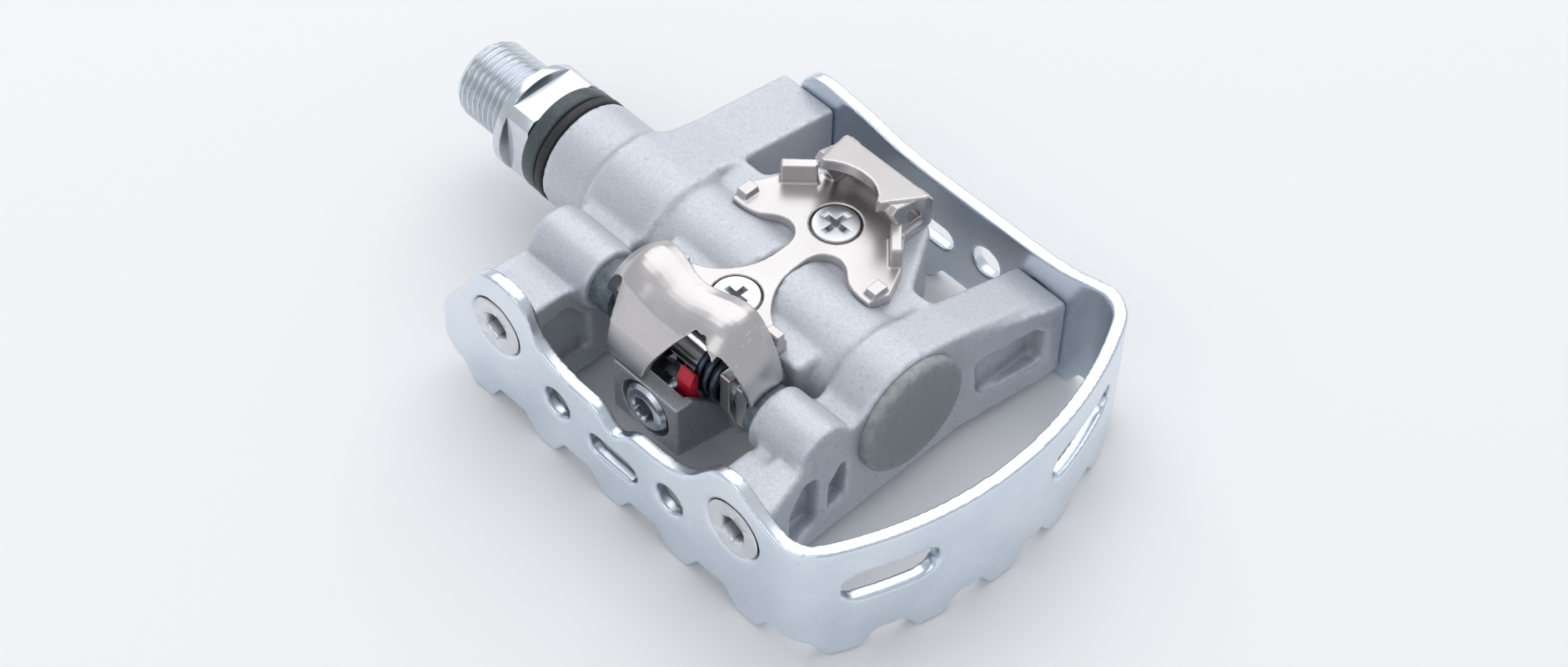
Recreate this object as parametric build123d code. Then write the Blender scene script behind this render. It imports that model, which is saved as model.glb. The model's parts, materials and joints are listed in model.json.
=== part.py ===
from build123d import *
import os
from math import cos, pi, radians, sin, sqrt

# A right-hand clipless pedal in millimetres. The origin is where the spindle's
# axis meets the face that seats on the crank. X runs outward along the spindle,
# Y points to the front of the pedal and Z points up, to the binding side.

os.makedirs("parts", exist_ok=True)

# ---- driving dimensions ----
THREAD_R = 7.144          # 9/16 inch pedal thread, outer radius
THREAD_LEN = 12.5
COLLAR_R = 9.6
COLLAR_T = 1.6
FLATS_END = 6.6           # outer end of the wrench flats
FLATS_AF = 15.0
RING_END = 9.9
LIP_START = 10.2
BODY_START = 11.9
BODY_END = 84.0

BARREL_NECK_R = 9.73
BARREL_R = 10.2
BULGE_R = 11.0            # barrel where an arm crosses it
BORE_R = 5.6
CUP_SEAT_R = 8.25
CAP_SEAT_R = 8.6

ARM_BOTTOM = -15.2
ARM_END_Y = 32.9          # arms stop at the inner faces of the cage
INNER_ARM = (23.6, 35.3)
OUTER_ARM = (76.0, BODY_END)

MID_X = 56.2              # middle of the binding
PIN_Y, PIN_Z = -17.3, 3.8
PIN_R = 2.4
BOSS_R = 5.5
GAP_X = (37.1, 73.0)      # space between the two bosses
JAW_HALF = 14.6           # half width of the jaw
LEG_X = 8.75              # the jaw's inner legs start this far from its middle
ADJUST_Z = -1.2           # height of the adjusting bolt
ADJUST_R = 1.6

PLATE_TOP = 9.9
PLATE_T = 1.8
SCREW_Y = (12.2, -8.9)
SCREW_HEAD_R = 4.0
SCREW_R = 2.0

STRIP_T = 2.3             # thickness of the cage strip
CAGE_Y = 35.2             # outer face of the cage plates
CAGE_X = 107.0            # outermost point of the cage
CAGE_ARC_R = 66.0
CORNER_R = 8.0
CREASE_Z = -13.8
TOOTH_Z = -17.3
TOOTH_PITCH = 15.0
TOOTH_X = 56.0            # one tooth is centred here
ARC_TOOTH_Y = -28.6       # the first tooth of the bend
ARC_TOOTH_PITCH = 13.4
ARC_SLOTS = ((-22.0, 15.0), (17.0, 18.0))  # y, length
CAGE_BOLTS = ((30.9, -1, 1.96), (83.1, -1, 1.96), (30.9, 1, -3.5), (80.4, 1, -3.5))  # x, side, z
BOLT_DEPTH = 5.6          # how far a cage bolt reaches into an arm
BOLT_HEAD_R = 5.4
BOLT_R = 2.5
FIT = 0.04                # clearance between parts that turn in each other

INNER_RACE = (17.6, 6.35)  # ball centres: place along the spindle, pitch radius
OUTER_RACE = (74.6, 6.1)
BALL_R = 1.19
BALLS = 14


ALONG_X = Plane.YZ.location   # turns a shape drawn upright so that it points to +X
ALONG_Y = Plane.XZ.location   # the same, to -Y


# ---- shared shapes ----
def push(face, amount):
    """Extrude a flat outline along the normal of its plane, whatever its sense."""
    return extrude(face, amount=amount, dir=(0, 0, 1))


def bar(x0, x1, r, y=0.0, z=0.0):
    """A round bar along the spindle's direction."""
    return Pos(x0, y, z) * ALONG_X * extrude(Circle(r), amount=x1 - x0)


def tube(x0, x1, r, bore):
    return bar(x0, x1, r) - bar(x0 - 1, x1 + 1, bore)


def slab_x(points, x0, x1, r=0.0):
    """An outline given as (y, z) points, pushed along X. r rounds its corners."""
    face = make_face(Polyline(*points, close=True))
    if r:
        face = fillet(face.vertices(), r)
    return Pos(x0, 0, 0) * ALONG_X * push(face, x1 - x0)


def slab_y(points, y0, y1, r=0.0):
    """An outline given as (x, z) points, pushed along Y. r rounds its corners."""
    face = make_face(Polyline(*points, close=True))
    if r:
        face = fillet(face.vertices(), r)
    return Pos(0, y1, 0) * ALONG_Y * push(face, y1 - y0)


def slab_z(points, z0, z1, r=0.0):
    """An outline given as (x, y) points, pushed along Z. r rounds its corners."""
    face = make_face(Polyline(*points, close=True))
    if r:
        face = fillet(face.vertices(), r)
    return Pos(0, 0, z0) * push(face, z1 - z0)


def block(x, y, z):
    """A box from its lowest and highest values along each axis."""
    size = [b - a for a, b in (x, y, z)]
    middle = [(a + b) / 2 for a, b in (x, y, z)]
    return Pos(*middle) * Box(*size)


def race(place, extra=0.03):
    """The ring that a row of balls sweeps, a little larger than the balls."""
    x, pitch_r = place
    return Pos(x, 0, 0) * Rot(0, 90, 0) * Torus(pitch_r, BALL_R + extra)


def save(shape, name):
    export_step(shape, f"parts/{name}.step")


# ---- spindle and what turns on it ----
def spindle():
    profile = [
        (-THREAD_LEN, 0), (-THREAD_LEN, THREAD_R - 1.1), (-THREAD_LEN + 1.0, THREAD_R),
        (0, THREAD_R), (0, COLLAR_R), (FLATS_END, COLLAR_R), (FLATS_END, 7.2),
        (INNER_RACE[0] - 1.0, 7.2), (INNER_RACE[0] - 0.2, 6.6), (INNER_RACE[0] + 1.6, 5.2),
        (32.0, 5.2), (66.0, 4.4), (69.0, 3.5), (83.0, 3.5), (83.4, 3.1), (83.4, 0),
    ]
    shaft = revolve(make_face(Polyline(*profile, close=True)), Axis.X)
    shaft -= race(INNER_RACE)
    flat = block((COLLAR_T, FLATS_END), (FLATS_AF / 2, 12), (-12, 12))
    for quarter in range(4):
        shaft -= flat.rotate(Axis.X, 90 * quarter)
    socket = ALONG_X * extrude(RegularPolygon(3.0, 6, major_radius=False), amount=6.0)
    return shaft - Pos(-THREAD_LEN, 0, 0) * socket


def dust_ring():
    ring = tube(FLATS_END + 0.05, RING_END, COLLAR_R, 7.2 + FIT)
    return chamfer(ring.edges().filter_by(GeomType.CIRCLE).group_by(SortBy.RADIUS)[-1], 0.4)


def seal_lip():
    lip = tube(LIP_START, BODY_START - 0.02, COLLAR_R + 0.1, 7.45)
    return lip + tube(BODY_START - 0.5, 15.2, CUP_SEAT_R - FIT, 7.45)


def inner_cup():
    x = INNER_RACE[0]
    cup = tube(x - 1.6, x + 3.1, CUP_SEAT_R - 0.02, 7.4) + tube(x + 0.8, x + 3.1, 7.6, 5.75)
    return cup - race(INNER_RACE)


def outer_cup():
    x = OUTER_RACE[0]
    cup = tube(x - 3.1, x + 1.6, CUP_SEAT_R - 0.02, 7.15) + tube(x - 3.1, x - 0.8, 7.6, 4.9)
    return cup - race(OUTER_RACE)


def ball_ring(place):
    """Loose balls, evenly spaced. They do not touch each other."""
    x, pitch_r = place
    balls = []
    for i in range(BALLS):
        a = 2 * pi * i / BALLS
        balls.append(Pos(x, pitch_r * cos(a), pitch_r * sin(a)) * Sphere(BALL_R))
    return Compound(children=balls)


def outer_cone():
    x = OUTER_RACE[0]
    profile = [(x - 0.9, 3.55), (x - 0.9, 4.7), (x + 0.3, 5.5), (x + 1.2, 6.0), (x + 4.2, 6.0), (x + 4.2, 3.55)]
    return revolve(make_face(Polyline(*profile, close=True)), Axis.X) - race(OUTER_RACE)


def lock_washer():
    x = OUTER_RACE[0] + 4.25
    return tube(x, x + 0.9, 5.8, 3.55)


def lock_nut():
    x = OUTER_RACE[0] + 5.2
    hexagon = RegularPolygon(5.0, 6, major_radius=False) - Circle(3.55)
    return Pos(x, 0, 0) * ALONG_X * extrude(hexagon, amount=2.6)


def end_cap():
    face_x = BODY_END + 0.02
    flange = bar(face_x, face_x + 2.1, 10.3)
    rim = flange.edges().filter_by(GeomType.CIRCLE).sort_by(Axis.X)[-1]
    return fillet(rim, 1.2) + tube(BODY_END - 3.0, face_x + 0.3, CAP_SEAT_R - 0.03, 7.4)


# ---- body ----
def arm(x0, x1, front_top):
    """One cross arm with its pivot boss and the bulge where the barrel passes."""
    outline = [
        (-ARM_END_Y, ARM_BOTTOM), (-ARM_END_Y, 5.6), (-26.4, 5.4), (-22.6, 4.6), (-12.0, 5.4),
        (-9.0, 6.4), (3.2, 10.5), (13.0, 7.4 + front_top * 0.12), (ARM_END_Y, front_top),
        (ARM_END_Y, ARM_BOTTOM),
    ]
    face = make_face(Polyline(*outline, close=True))
    face += Circle(BULGE_R)
    face += Pos(PIN_Y, PIN_Z) * Circle(BOSS_R)
    return Pos(x0, 0, 0) * ALONG_X * push(face, x1 - x0)


def arm_pockets(x0, x1):
    """Hollows cut into an arm from below, either side of the barrel."""
    hollow = block((x0, x1), (12.6, 25.6), (ARM_BOTTOM - 1, -5.0))
    hollow += block((x0, x1), (-29.0, -12.6), (ARM_BOTTOM - 1, -5.0))
    return fillet(hollow.edges().filter_by(Axis.Z), (x1 - x0) * 0.25)


def face_pockets():
    """Shallow hollows in the outer face of the outer arm."""
    front = slab_x([(14.8, -1.0), (26.4, -1.6), (28.8, -3.6), (28.8, -10.4), (15.8, -9.6)], BODY_END - 1.0, 90, 1.6)
    rear = slab_x([(-25.8, -11.6), (-25.8, -1.0), (-22.6, 1.4), (-18.4, -0.6), (-18.4, -11.2)], BODY_END - 3.0, 90, 1.5)
    corner = slab_x([(-16.2, -4.2), (-12.4, 0.2), (-12.6, -9.6), (-16.2, -10.4)], BODY_END - 3.0, 90, 0.7)
    return [front, rear, corner]


def toes():
    """The outer arm widens toward the cage at both ends."""
    front = slab_z([(80.0, 11.5), (BODY_END, 11.5), (86.6, 30.0), (86.6, ARM_END_Y), (80.0, ARM_END_Y)], ARM_BOTTOM, 8.0)
    front &= slab_x([(5, ARM_BOTTOM), (5, 9.0), (ARM_END_Y, 0.4), (ARM_END_Y, ARM_BOTTOM)], 70, 90)
    rear = slab_z([(80.0, -19.5), (BODY_END, -19.5), (87.0, -30.0), (87.0, -ARM_END_Y), (80.0, -ARM_END_Y)], ARM_BOTTOM, 5.5)
    return front + rear


def shelf():
    """The middle of the body that carries the cleat plate."""
    tip = [
        (35.0, -4.0), (76.0, -4.0), (76.0, 12.6), (MID_X + 16.2, 12.6), (MID_X + 9.2, 23.9),
        (MID_X - 9.2, 23.9), (MID_X - 16.2, 12.6), (35.0, 12.6),
    ]
    front = slab_z(tip, -7.0, PLATE_TOP - PLATE_T)
    front = fillet(front.edges().filter_by(Axis.Z).group_by(Axis.Y)[-1], 2.0)
    rear = block((MID_X - 16.0, MID_X + 16.0), (-11.3, 0), (-3.0, PLATE_TOP - PLATE_T))
    return front + fillet(rear.edges().filter_by(Axis.Z).group_by(Axis.Y)[0], 1.5)


def shelf_hollows():
    """Hollows cut into the shelf from below, leaving a rib in the middle."""
    rooms = []
    for side in (-1, 1):
        x0 = MID_X + side * 1.6
        x1 = MID_X + side * 7.0
        rooms.append(block((min(x0, x1), max(x0, x1)), (15.2, 22.0), (-8.0, 5.6)))
    return rooms


def inner_end_pocket():
    """A wedge-shaped hollow in the inner arm, facing the binding."""
    return slab_x([(-30.0, -11.0), (-30.0, 0.5), (-24.5, 1.5), (-20.5, -3.5), (-20.5, -11.0)], INNER_ARM[1] - 1.6, 40, 1.2)


def pedal_body():
    barrel = bar(BODY_START, 23.0, BARREL_NECK_R) + bar(22.0, BODY_END, BARREL_R)
    body = barrel + arm(*INNER_ARM, 4.6) + arm(*OUTER_ARM, 0.4)
    body += bar(22.4, 36.0, BULGE_R)
    body += toes()
    body += bar(25.0, GAP_X[0], BOSS_R, PIN_Y, PIN_Z) + bar(GAP_X[1], BODY_END, BOSS_R, PIN_Y, PIN_Z)
    body += shelf()
    for hollow in [arm_pockets(26.0, 33.0), arm_pockets(77.6, 80.2), inner_end_pocket()] + face_pockets() + shelf_hollows():
        body -= hollow
    body -= bar(BODY_START - 1, 21.0, CUP_SEAT_R) + bar(20.0, 72.0, BORE_R)
    body -= bar(71.0, BODY_END - 5.5, CUP_SEAT_R) + bar(BODY_END - 5.6, BODY_END + 3, CAP_SEAT_R)
    body -= bar(20.0, GAP_X[1] + 7.0, PIN_R + 0.01, PIN_Y, PIN_Z)
    body -= Pos(0, 0, PLATE_TOP - PLATE_T) * push(plate_outline(1.02), 8)
    for y in SCREW_Y:
        body -= Pos(MID_X, y, -3.2) * extrude(Circle(SCREW_R + FIT), amount=16)
    for bolt in CAGE_BOLTS:
        body -= bolt_hole(*bolt)
    return body


def bolt_hole(x, side, z):
    """The hole of one cage bolt, from inside the arm out through the cage."""
    hole = Pos(x, ARM_END_Y + 6.0, z) * ALONG_Y * extrude(Circle(BOLT_R + FIT), amount=6.0 + BOLT_DEPTH)
    return hole if side > 0 else mirror(hole, Plane.XZ)


# ---- cleat plate with the fixed front claw ----
def plate_outline(grow=1.0):
    """The plate seen from above: wings at the front and rear, a narrow waist."""
    middle_y = 7.6
    waist = [
        (14.8, 4.4), (12.3, 4.4), (9.6, 5.2), (7.4, 6.9), (4.6, 7.3), (2.7, 5.8), (2.1, 2.5), (2.5, -1.5),
        (4.5, -5.6), (7.2, -8.2), (9.4, -9.2), (11.7, -9.4),
    ]
    wing = [(14.8, 4.4), (15.8, 8.0), (13.4, 13.0), (8.9, 18.2), (8.9, 24.2)]
    tail = [(11.7, -9.4), (11.7, -11.9)]

    def placed(points, side):
        return [(side * x * grow, middle_y + (y - middle_y) * grow) for x, y in points]

    sides = [Spline(*placed(waist, side)) for side in (-1, 1)]
    front = Polyline(*placed(wing, 1), *placed(wing[::-1], -1))
    rear = Polyline(*placed(tail, 1), *placed(tail[::-1], -1))
    return Pos(MID_X, 0) * make_face(sides + [front, rear])


def claw():
    """The front claw: a wall at the plate's front edge that folds back over it."""
    section = [
        (24.2, PLATE_TOP - PLATE_T), (24.2, 13.6), (23.2, 15.0), (15.0, 17.6), (14.4, 15.8), (21.0, 13.2),
        (21.8, 12.2), (21.8, PLATE_TOP - PLATE_T),
    ]
    hook = slab_x(section, MID_X - 8.9, MID_X + 8.9)
    plan = [(-5.8, 13.0), (5.8, 13.0), (8.9, 22.4), (8.9, 26.0), (-8.9, 26.0), (-8.9, 22.4)]
    hook &= Pos(MID_X, 0, 0) * slab_z(plan, 0, 30)
    return hook - Pos(MID_X, SCREW_Y[0] - 0.4, 10) * extrude(Circle(6.4), amount=12)


def claw_cheek(side):
    """The strip that closes each end of the claw, with a three-cornered hole."""
    outer = [(23.8, 9.0), (23.8, 14.4), (16.6, 16.6), (15.6, 15.6), (18.6, 9.0)]
    hole = [(22.0, 11.0), (22.0, 13.0), (18.4, 14.4), (19.8, 11.0)]
    x0 = 6.6
    cheek = slab_x(outer, x0, x0 + 1.8) - slab_x(hole, x0 - 1, x0 + 3, 0.4)
    return Pos(MID_X, 0, 0) * (cheek if side > 0 else mirror(cheek, Plane.YZ))


def guide_tab(side):
    """An upright tab at 45 degrees that steers the nose of the cleat."""
    tab = Box(5.8, 1.7, 4.6)
    tab = fillet(tab.edges().filter_by(Axis.Y).group_by(Axis.Z)[-1], 0.5)
    return Pos(MID_X + side * 10.5, 14.5, PLATE_TOP + 1.5) * Rot(0, 0, -side * 45) * tab


def wing_tip(side):
    """The turned-up corner at the end of a front wing."""
    tip = slab_x([(4.9, 9.0), (8.2, 9.0), (8.2, 11.0), (5.6, 11.0)], 13.0, 15.0)
    return Pos(MID_X, 0, 0) * (tip if side > 0 else mirror(tip, Plane.YZ))


def rear_tab(side):
    """The small upright tab at the end of a rear wing."""
    tab = slab_x([(-11.8, 9.0), (-9.7, 9.0), (-9.9, 11.9), (-11.5, 11.9)], 8.9, 11.6)
    return Pos(MID_X, 0, 0) * (tab if side > 0 else mirror(tab, Plane.YZ))


def cleat_plate():
    plate = Pos(0, 0, PLATE_TOP - PLATE_T) * push(plate_outline(), PLATE_T)
    plate += claw()
    for side in (-1, 1):
        plate += guide_tab(side)
        plate += claw_cheek(side)
        plate += wing_tip(side)
        plate += rear_tab(side)
    for y in SCREW_Y:
        sink = Pos(MID_X, y, PLATE_TOP - 1.8) * Cone(SCREW_R + 0.1, SCREW_HEAD_R + 0.15, 2.0, align=(Align.CENTER, Align.CENTER, Align.MIN))
        plate -= sink
        plate -= Pos(MID_X, y, 5) * extrude(Circle(SCREW_R + 0.1), amount=6)
    return plate


def plate_screws():
    screws = []
    for y in SCREW_Y:
        head = Pos(MID_X, y, PLATE_TOP - 1.8) * Cone(SCREW_R, SCREW_HEAD_R, 1.9, align=(Align.CENTER, Align.CENTER, Align.MIN))
        shank = Pos(MID_X, y, -3.0) * extrude(Circle(SCREW_R), amount=PLATE_TOP + 2.0)
        screw = head + shank
        for turn in (0, 90):
            screw -= Pos(MID_X, y, PLATE_TOP - 0.6) * Rot(0, 0, turn + 20) * Box(3.6, 0.9, 1.6)
        screws.append(screw)
    return Compound(children=screws)


# ---- rear jaw ----
WINDOW = [
    (5.2, 16.2), (3.1, 13.4), (1.0, 10.0), (-0.3, 7.2), (-0.9, 4.4), (-0.9, 0.0), (LEG_X, 0.0), (LEG_X, 11.6), (7.0, 14.4),
]


def jaw_shell(inset):
    """The roof of the jaw, as the crossing of its side view and its rear view."""
    side_view = [
        (-15.0 - inset * 0.2, 18.8 - inset), (-17.6, 19.9 - inset), (-20.2 + inset * 0.4, 19.6 - inset),
        (-22.6 + inset, 17.0 - inset * 0.4), (-25.0 + inset, 9.6), (-26.4 + inset, 4.3 - inset),
        (-14.0 + inset * 3, 4.3 - inset), (-14.0 + inset * 3, 18.0 - inset),
    ]
    rear_view = [
        (JAW_HALF - inset, -4.0), (JAW_HALF - inset, 12.6 - inset * 0.4), (9.6 - inset * 0.3, 19.9 - inset),
        (-9.6 + inset * 0.3, 19.9 - inset), (-JAW_HALF + inset, 12.6 - inset * 0.4), (-JAW_HALF + inset, -4.0),
    ]
    shell = slab_x(side_view, MID_X - 20, MID_X + 20)
    return shell & Pos(MID_X, 0, 0) * slab_y(rear_view, -40, 0)


def jaw_ear(side):
    """An end plate of the jaw that turns on the hinge pin."""
    plate = [(-22.6, 4.4), (-22.6, 9.0), (-20.0, 12.0), (-14.2, 12.4), (-12.2, 6.0), (-12.2, 2.0), (-14.6, -1.2), (-19.6, -1.2)]
    ear = slab_x(plate, JAW_HALF - 2.4, JAW_HALF, 1.2)
    return Pos(MID_X, 0, 0) * (ear if side > 0 else mirror(ear, Plane.YZ))


def jaw_leg(side):
    """An inner leg that reaches down beside the tension block."""
    plate = [(-24.6, 9.0), (-21.6, 17.2), (-15.4, 17.2), (-12.6, 6.0), (-12.6, 1.0), (-14.4, -6.0), (-18.0, -6.0), (-21.0, 3.0)]
    leg = slab_x(plate, LEG_X, LEG_X + 2.2, 0.8)
    return Pos(MID_X, 0, 0) * (leg if side > 0 else mirror(leg, Plane.YZ))


def rear_binding():
    jaw = jaw_shell(0) - jaw_shell(2.4)
    lip = slab_x([(-14.6, 17.0), (-15.0, 18.8), (-19.0, 19.4), (-19.0, 16.6), (-15.4, 15.6)], MID_X - 9.6, MID_X + 9.6)
    jaw += lip
    for side in (-1, 1):
        jaw += jaw_ear(side)
        jaw += jaw_leg(side)
    scallop = Pos(MID_X, -9.0, 12) * extrude(Circle(6.9), amount=12)
    jaw -= scallop
    jaw -= Pos(MID_X, 0, 0) * slab_y(WINDOW, -30, -20.4)
    jaw -= block((MID_X - LEG_X, MID_X + LEG_X), (-22.4, -12.0), (1.0, 15.4))
    jaw -= block((MID_X - 30, MID_X + 30), (-14.2, 0), (0, 15.4)) & block((MID_X - 11, MID_X + 11), (-14.2, 0), (0, 15.4))
    for side in (-1, 1):
        x0 = MID_X + side * (LEG_X + 2.2)
        x1 = MID_X + side * (JAW_HALF - 2.4)
        jaw -= block((min(x0, x1), max(x0, x1)), (-30, -10), (-8, 9.4))
    return jaw - bar(MID_X - 20, MID_X + 20, PIN_R + 0.05, PIN_Y, PIN_Z)


def tension_block():
    half = 7.1
    side_view = [(-27.6, -6.6), (-27.6, 4.2), (-24.4, 4.2), (-18.5, -1.2), (-14.9, -6.5), (-14.9, -9.6)]
    shell = slab_x(side_view, MID_X - half, MID_X + half)
    room = slab_x([(-24.8, -5.2), (-24.8, 6.0), (-10.0, 6.0), (-10.0, -8.4)], MID_X - half + 1.4, MID_X + half - 1.4)
    shell = shell - room
    recess = Pos(MID_X, -25.4, ADJUST_Z) * ALONG_Y * extrude(Circle(5.1), amount=4)
    hole = Pos(MID_X, -20, ADJUST_Z) * ALONG_Y * extrude(Circle(ADJUST_R + FIT), amount=9)
    return shell - recess - hole


def tension_bolt():
    head = Pos(MID_X, -25.5, ADJUST_Z) * ALONG_Y * extrude(Circle(4.3), amount=2.6)
    head = fillet(head.edges().sort_by(Axis.Y)[0], 0.5)
    head -= Pos(MID_X, -26.2, ADJUST_Z) * ALONG_Y * extrude(RegularPolygon(2.0, 6, major_radius=False), amount=4)
    return head + Pos(MID_X, -16.4, ADJUST_Z) * ALONG_Y * extrude(Circle(ADJUST_R), amount=9.2)


def tension_nut():
    nut = block((MID_X - 5.4, MID_X + 5.4), (-21.6, -19.0), (-4.8, -0.8))
    nut += block((MID_X - 2.3, MID_X + 2.3), (-21.6, -19.0), (-1.2, 1.0))
    return nut - Pos(MID_X, -10, ADJUST_Z) * ALONG_Y * extrude(Circle(ADJUST_R + 0.03), amount=15)


def tension_indicator():
    """The flag on the nut that shows the spring setting through the jaw's window."""
    x0 = MID_X + 2.5
    x1 = MID_X + 5.4
    foot = block((x0, x1), (-23.0, -20.4), (-0.78, -0.2))
    return foot + slab_x([(-23.0, -0.2), (-23.4, 4.9), (-22.4, 7.0), (-21.8, 6.4), (-21.8, -0.2)], x0, x1)


def torsion_spring(side):
    """A coil round the hinge pin with one leg on the nut and one on the body."""
    wire_r, coil_r, pitch, turns, start = 0.72, 3.5, 1.6, 3, 3.15
    coil = Helix(pitch, turns * pitch, coil_r)
    ring = sweep(Plane(origin=coil @ 0, z_dir=coil % 0) * Circle(wire_r), path=coil)
    low = PIN_Z - coil_r
    end = start + turns * pitch
    spring = Pos(start, PIN_Y, PIN_Z) * Rot(0, 90, 0) * ring
    spring += Pos(start, PIN_Y, low - 3.2) * extrude(Circle(wire_r), amount=3.2)
    spring += Pos(end, PIN_Y + 6.4, low) * ALONG_Y * extrude(Circle(wire_r), amount=6.4)
    for x in (start, end):
        spring += Pos(x, PIN_Y, low) * Sphere(wire_r)
    return Pos(MID_X, 0, 0) * (spring if side > 0 else mirror(spring, Plane.YZ))


def binding_pin():
    return bar(27.2, GAP_X[1] + 6.8, PIN_R, PIN_Y, PIN_Z)


def pin_plug():
    return bar(25.2, 27.1, PIN_R, PIN_Y, PIN_Z)


def pin_bushes():
    """Collars that keep the jaw centred between the two bosses."""
    bushes = []
    for x0, x1 in ((GAP_X[0] + 0.05, MID_X - JAW_HALF - 0.3), (MID_X + JAW_HALF + 0.3, GAP_X[1] - 0.05)):
        bushes.append(Pos(0, PIN_Y, PIN_Z) * tube(x0, x1, 4.4, PIN_R + 0.02))
    return Compound(children=bushes)


# ---- cage ----
def strip_outline(inset):
    """The U-shaped outline of the cage from above, inset from its outer face."""
    y = CAGE_Y - inset
    r = CAGE_ARC_R - inset
    centre = CAGE_X - CAGE_ARC_R
    corner_x = centre + sqrt(r * r - y * y)
    rear = Line((10, -y), (corner_x, -y))
    arc = ThreePointArc((corner_x, -y), (CAGE_X - inset, 0), (corner_x, y))
    front = Line((corner_x, y), (10, y))
    face = make_face([rear, arc, front, Line((10, y), (10, -y))])
    corners = face.vertices().group_by(Axis.X)[-1]
    return fillet(corners, CORNER_R - inset)


def teeth_line(first, count, start, end, pitch=TOOTH_PITCH):
    """The lower edge: blunt teeth below the crease, from start to end."""
    points = [(start, CREASE_Z)]
    for i in range(count):
        middle = first + i * pitch
        for step, drop in ((-4.6, 0), (-2.2, 1), (2.2, 1), (4.6, 0)):
            points.append((middle + step, CREASE_Z + drop * (TOOTH_Z - CREASE_Z)))
    points.append((end, CREASE_Z))
    return points


def rear_view():
    """Rear plate: round lobes over the bolts, a low edge with a dip between."""
    top = Spline(
        (17.6, -7.0), (18.6, -2.0), (22.9, 4.4), (28.0, 11.4), (33.0, 13.0), (37.4, 11.6), (40.0, 6.4), (44.0, 3.8), (49.1, 2.9),
        (54.0, 2.0), (57.2, -0.4), (60.4, 2.0), (65.3, 2.9), (70.4, 3.8), (74.4, 6.4), (78.0, 10.8), (82.4, 12.8), (87.0, 10.4),
        (91.0, 8.3), (97.0, 8.2),
    )
    low = [(97.0, CREASE_Z)] + teeth_line(TOOTH_X - 2 * TOOTH_PITCH, 5, 20.0, 97.0)[::-1][1:] + [(17.6, CREASE_Z + 2.6)]
    edge = Polyline((97.0, 8.2), *low, (17.6, -7.0))
    return make_face([top, edge])


def front_view():
    """Front plate: lower at the outer end, with the same teeth."""
    top = Spline(
        (26.4, -6.0), (26.8, 0.0), (28.4, 6.6), (31.5, 8.2), (36.0, 8.0), (42.0, 7.3), (48.0, 6.1), (54.0, 5.6), (66.0, 5.5),
        (79.0, 5.5), (86.0, 6.2), (91.0, 7.6), (97.0, 8.2),
    )
    low = [(97.0, CREASE_Z)] + teeth_line(TOOTH_X - TOOTH_PITCH, 4, 29.0, 97.0)[::-1][1:] + [(26.4, CREASE_Z + 2.6)]
    edge = Polyline((97.0, 8.2), *low, (26.4, -6.0))
    return make_face([top, edge])


def arc_view():
    """The bend seen from the side: level top edge, teeth below."""
    teeth = teeth_line(ARC_TOOTH_Y, 5, -40.0, 40.0, ARC_TOOTH_PITCH)
    return teeth + [(40.0, 8.2), (-40.0, 8.2)]


def rounded_slot(length, height):
    return SlotOverall(length, height)


def cage():
    strip = strip_outline(0) - strip_outline(STRIP_T) - Pos(10, 0) * Rectangle(3, 90)
    strip = Pos(0, 0, -20) * push(strip, 40)
    rear = strip & Pos(0, -20, 0) * ALONG_Y * push(rear_view(), 30)
    front = strip & Pos(0, 50, 0) * ALONG_Y * push(front_view(), 30)
    bend = strip & slab_x(arc_view(), 96.99, 112)
    whole = rear + bend + front
    for side in (-1, 1):
        wall = Pos(0, side * (CAGE_Y - STRIP_T / 2) + 4, 0) * ALONG_Y
        for x in (44.5, 69.5):
            whole -= wall * Pos(x, -4.34, 0) * extrude(Circle(2.9), amount=8)
        whole -= wall * Pos(57.0, -6.24, 0) * extrude(rounded_slot(10.8, 4.5), amount=8)
    for y, length in ARC_SLOTS:
        whole -= Pos(96, y, -1.5) * ALONG_X * extrude(rounded_slot(length, 6.4), amount=16)
    for bolt in CAGE_BOLTS:
        whole -= bolt_cone(*bolt, 0.1) + bolt_hole(*bolt)
    return whole


def bolt_cone(x, side, z, grow):
    """A countersunk head, wide at the outer face of the cage."""
    face = [(CAGE_Y + grow / 2, 0), (CAGE_Y + grow / 2, BOLT_HEAD_R + grow), (CAGE_Y - STRIP_T, BOLT_R + grow + 0.6), (CAGE_Y - STRIP_T, 0)]
    cone = revolve(make_face(Polyline(*[(r, y) for y, r in face], close=True)), Axis.Y)
    cone = Pos(x, 0, z) * cone
    return cone if side > 0 else mirror(cone, Plane.XZ)


def cage_bolts():
    bolts = []
    for x, side, z in CAGE_BOLTS:
        shank = Pos(x, CAGE_Y - 1.0, z) * ALONG_Y * extrude(Circle(BOLT_R), amount=BOLT_DEPTH + 1.0)
        socket = Pos(x, CAGE_Y + 1.0, z) * ALONG_Y * extrude(RegularPolygon(1.5, 6, major_radius=False), amount=3.0)
        if side < 0:
            shank = mirror(shank, Plane.XZ)
            socket = mirror(socket, Plane.XZ)
        bolts.append(bolt_cone(x, side, z, 0) + shank - socket)
    return Compound(children=bolts)


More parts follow.
